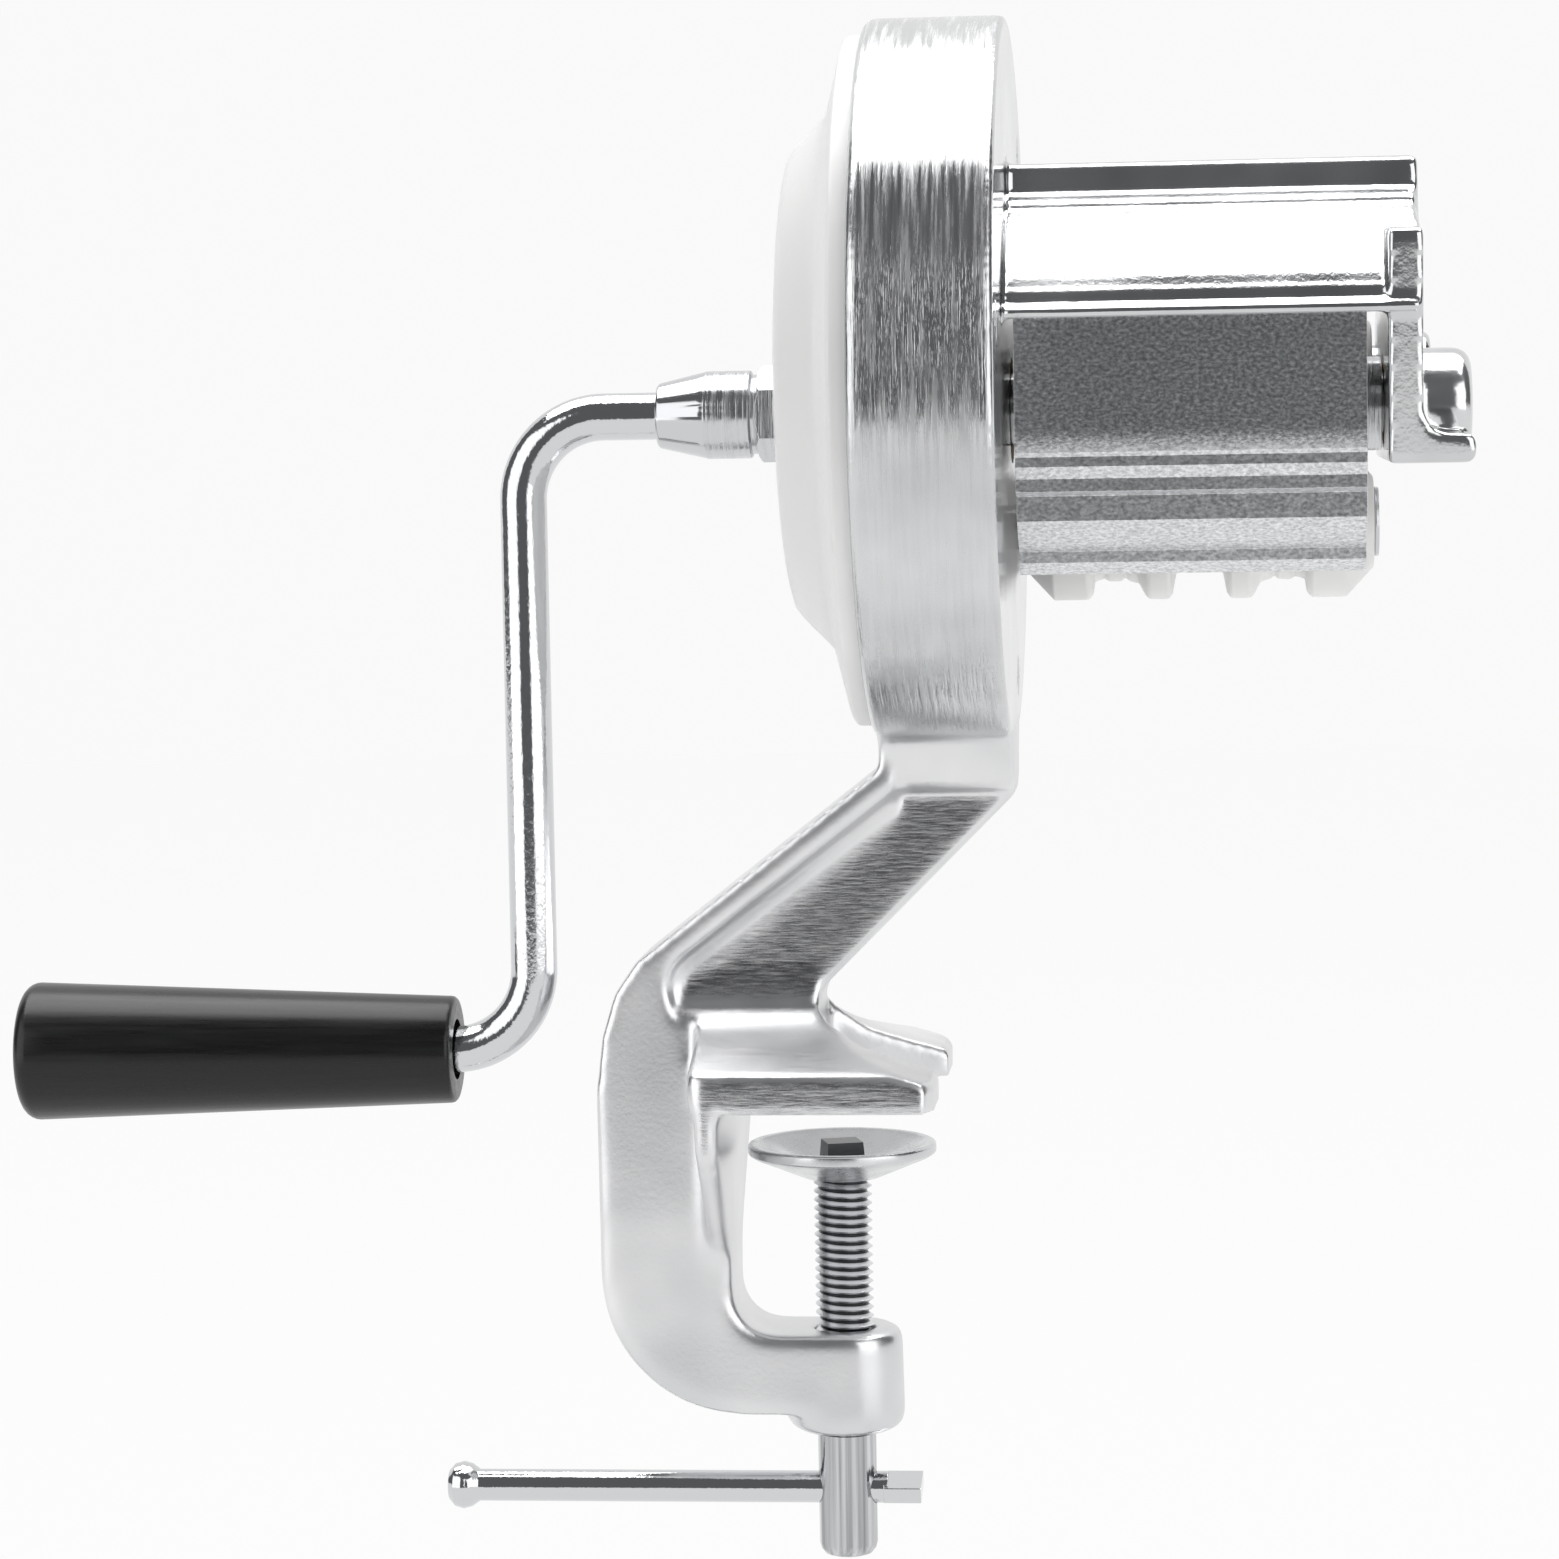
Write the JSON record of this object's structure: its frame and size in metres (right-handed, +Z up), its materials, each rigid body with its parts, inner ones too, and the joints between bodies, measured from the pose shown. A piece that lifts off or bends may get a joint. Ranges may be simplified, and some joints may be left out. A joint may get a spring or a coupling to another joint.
{
  "type": "cavatelli maker",
  "caption": "Clamp-on cavatelli pasta maker: a crank with a black grip drives feed rollers and a cutter through gears in a round cast housing, above a screw table clamp.",
  "frame": {"origin": "point of the jaw's flat underside that lies on the clamp spindle's axis", "axes": "+X along the crank axis from the crank towards the rollers, +Y from the forming plate towards the feed rollers, +Z up"},
  "size_m": [0.249, 0.121, 0.2613],
  "materials": {
    "cast_aluminium": "polished and satin die casting",
    "plate_aluminium": "fine satin",
    "white_cover": "smooth white",
    "white_roller": "white, food grade",
    "gear_nylon": "natural nylon",
    "bush_bronze": "sintered bronze",
    "shaft_steel": "ground",
    "chrome_rod": "bright plated",
    "turned_steel": "turned and plated",
    "zinc_steel": "zinc plated",
    "thread_steel": "dark threaded steel",
    "grip_black": "black, satin gloss"
  },
  "bodies": {
    "frame": {"body_casting": "cast_aluminium", "gear_cover": "white_cover", "cover_screw_a": "zinc_steel", "cover_screw_b": "zinc_steel", "cover_screw_c": "zinc_steel", "forming_plate": "plate_aluminium", "plate_screw_left": "zinc_steel", "plate_screw_right": "zinc_steel", "main_bush": "bush_bronze", "upper_bush": "bush_bronze", "lower_bush": "bush_bronze", "front_bush": "bush_bronze"},
    "crank": {"main_shaft": "shaft_steel", "crank_gear": "gear_nylon", "cutter": "white_roller", "thrust_collar": "turned_steel", "crank_locknut": "turned_steel", "crank_ferrule": "turned_steel", "crank_rod": "chrome_rod", "grip_rivet": "turned_steel"},
    "grip": {"crank_grip": "grip_black"},
    "upper_feed": {"upper_roller": "white_roller", "upper_shaft": "shaft_steel", "upper_gear": "gear_nylon", "upper_pair_gear": "gear_nylon"},
    "lower_feed": {"lower_roller": "white_roller", "lower_shaft": "shaft_steel", "lower_pair_gear": "gear_nylon", "lower_retainer": "turned_steel"},
    "pad": {"clamp_pad": "zinc_steel"},
    "spindle": {"clamp_spindle": "thread_steel"},
    "bar": {"cross_bar": "chrome_rod"}
  },
  "joints": [
    {"name": "crank_spin", "type": "hinge", "parent": "frame", "child": "crank", "pos_m": [0, 0, 0.115], "axis": [1, 0, 0], "continuous": true},
    {"name": "grip_spin", "type": "hinge", "parent": "crank", "child": "grip", "pos_m": [-0.104, 0, 0.007], "axis": [1, 0, 0], "continuous": true},
    {"name": "upper_spin", "type": "hinge", "parent": "frame", "child": "upper_feed", "pos_m": [0.06, 0.03551, 0.12089], "axis": [1, 0, 0], "continuous": true},
    {"name": "lower_spin", "type": "hinge", "parent": "frame", "child": "lower_feed", "pos_m": [0.06, 0.02999, 0.09446], "axis": [1, 0, 0], "continuous": true},
    {"name": "pad_lift", "type": "slide", "parent": "frame", "child": "pad", "axis": [0, 0, 1], "range_m": [-0.0252, 0.0004]},
    {"name": "spindle_turn", "type": "hinge", "parent": "pad", "child": "spindle", "pos_m": [0, 0, -0.03], "axis": [0, 0, 1], "range_deg": [-6000, 90]},
    {"name": "bar_slide", "type": "slide", "parent": "spindle", "child": "bar", "axis": [1, 0, 0], "range_m": [-0.001, 0.058]}
  ],
  "couplings": [
    {"joint": "upper_spin", "follows": "crank_spin", "ratio": -1},
    {"joint": "lower_spin", "follows": "crank_spin", "ratio": 1},
    {"joint": "pad_lift", "follows": "spindle_turn", "m_per_rad": 0.00023873}
  ]
}
